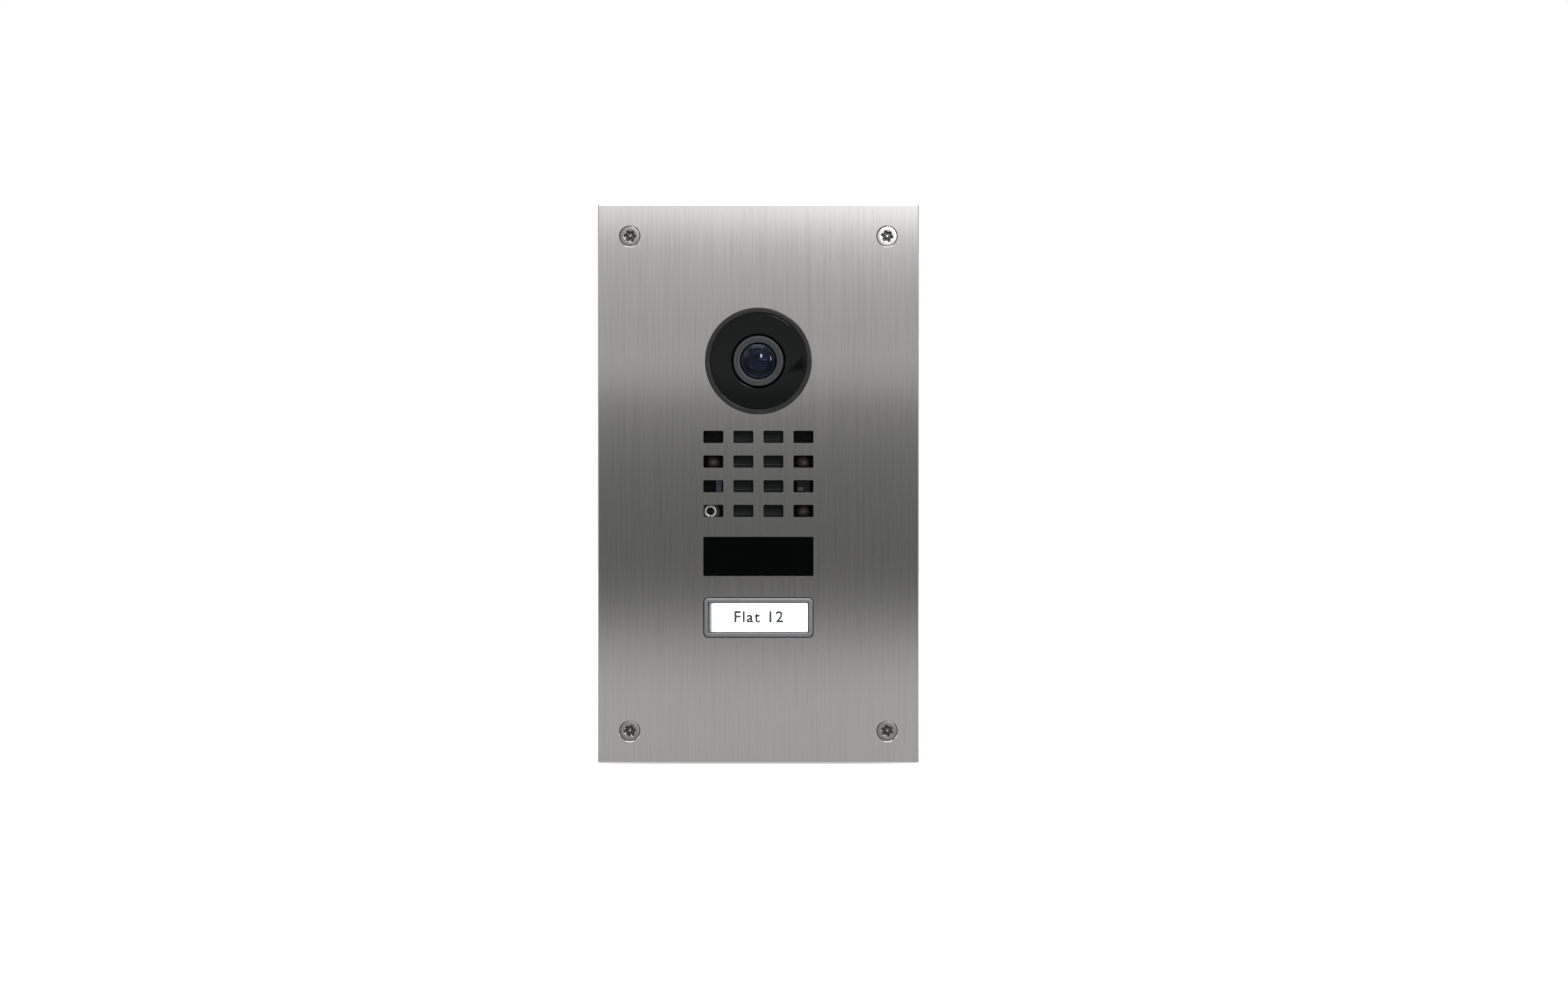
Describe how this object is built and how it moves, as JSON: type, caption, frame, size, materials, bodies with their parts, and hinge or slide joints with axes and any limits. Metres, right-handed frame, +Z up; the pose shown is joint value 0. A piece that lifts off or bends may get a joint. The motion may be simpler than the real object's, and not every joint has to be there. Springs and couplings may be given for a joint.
{
  "type": "door intercom panel",
  "caption": "Flush-mounted stainless door intercom: camera, speaker grille, dark sensor window and a lit call button with a name label, on a wall box.",
  "frame": {"origin": "centre of the wall plane, which is the rear face of the wall gasket behind the front plate", "axes": "+X to the right as a visitor sees the panel, +Y into the wall, +Z up"},
  "size_m": [0.104, 0.0534, 0.181],
  "materials": {
    "brushed_plate": "stainless steel with a fine vertical brush grain",
    "screw_steel": "turned stainless steel, light machining marks",
    "fastener_zinc": "bright plated steel",
    "gasket_foam": "closed-cell black foam",
    "seal_rubber": "smooth black rubber",
    "box_plastic": "grey moulded plastic, fine texture",
    "insert_brass": "turned brass",
    "housing_plastic": "black glass-filled plastic",
    "vent_cloth": "white breathable film",
    "bezel_gloss": "gloss dark grey",
    "window_gloss": "gloss black acrylic",
    "barrel_black": "satin dark grey",
    "lens_glass": "coated optical glass",
    "sensor_chip": "sensor glass over silicon",
    "board_green": "green solder mask",
    "board_black": "matt black solder mask, so that the board does not show through the grille",
    "mesh_cloth": "dark acoustic cloth",
    "cone_paper": "coated paper cone",
    "copper_coil": "enamelled copper winding",
    "magnet_steel": "plated steel",
    "can_metal": "drawn metal can",
    "infrared_resin": "dark red-brown resin",
    "status_resin": "pale blue clear resin",
    "eye_resin": "black resin with a pale eye",
    "button_grey": "satin grey, bevelled",
    "clear_cover": "clear polycarbonate",
    "label_white": "white printed card",
    "diffuser_milk": "milky diffuser",
    "spring_steel": "spring wire",
    "component_black": "black moulded component",
    "plunger_white": "white nylon",
    "lamp_white": "white lamp with yellow phosphor",
    "terminal_green": "green moulded terminal",
    "ribbon_film": "amber flexible cable"
  },
  "bodies": {
    "panel": {"acoustic_membrane": "mesh_cloth", "back_box": "box_plastic", "backlight_leds": "lamp_white", "bezel_seal": "seal_rubber", "blanking_plugs": "seal_rubber", "board_header": "component_black", "box_inserts": "insert_brass", "button_springs": "spring_steel", "camera_bezel_ring": "bezel_gloss", "camera_board": "board_green", "camera_board_screws": "fastener_zinc", "camera_mount": "housing_plastic", "camera_ribbon": "ribbon_film", "camera_window": "window_gloss", "capacitors": "can_metal", "frame_gasket": "gasket_foam", "front_board": "board_black", "front_board_screws": "fastener_zinc", "front_frame": "housing_plastic", "front_plate": "brushed_plate", "housing_seal": "seal_rubber", "image_sensor": "sensor_chip", "infrared_leds": "infrared_resin", "inner_housing": "housing_plastic", "inner_lens": "lens_glass", "lens_barrel": "barrel_black", "lens_dome": "lens_glass", "lens_holder": "housing_plastic", "lens_iris": "barrel_black", "light_sensor": "eye_resin", "main_board": "board_green", "main_board_screws": "fastener_zinc", "microphone": "can_metal", "microphone_boot": "seal_rubber", "motion_sensor": "can_metal", "plate_screws": "screw_steel", "power_transformer": "component_black", "processor": "component_black", "reader_board": "board_green", "relay": "component_black", "sensor_window": "window_gloss", "speaker_frame": "housing_plastic", "speaker_magnet": "magnet_steel", "speaker_surround": "seal_rubber", "speaker_yoke": "magnet_steel", "status_led": "status_resin", "stud_nuts": "fastener_zinc", "switch_bodies": "component_black", "terminal_block": "terminal_green", "vent_membrane": "vent_cloth", "wall_gasket": "gasket_foam", "weld_studs": "fastener_zinc"},
    "call_button": {"button_frame": "button_grey", "button_lens": "clear_cover", "name_label": "label_white", "light_guide": "diffuser_milk", "button_carrier": "housing_plastic"},
    "switch_plunger": {"switch_plungers": "plunger_white"},
    "cone": {"speaker_cone": "cone_paper", "voice_coil": "copper_coil"}
  },
  "joints": [
    {"name": "call_button_press", "type": "slide", "parent": "panel", "child": "call_button", "axis": [0, 1, 0], "range_m": [0, 0.0006], "stiffness_N_per_m": 2500, "springref_m": -0.0006, "deforming": ["button_springs"]},
    {"name": "switch_plunger_travel", "type": "slide", "parent": "panel", "child": "switch_plunger", "axis": [0, 1, 0], "range_m": [0, 0.0006]},
    {"name": "speaker_cone_travel", "type": "slide", "parent": "panel", "child": "cone", "axis": [0, 1, 0], "range_m": [-0.0003, 0.0003], "stiffness_N_per_m": 900, "deforming": ["speaker_surround"]}
  ],
  "couplings": [
    {"joint": "switch_plunger_travel", "follows": "call_button_press", "ratio": 1}
  ]
}
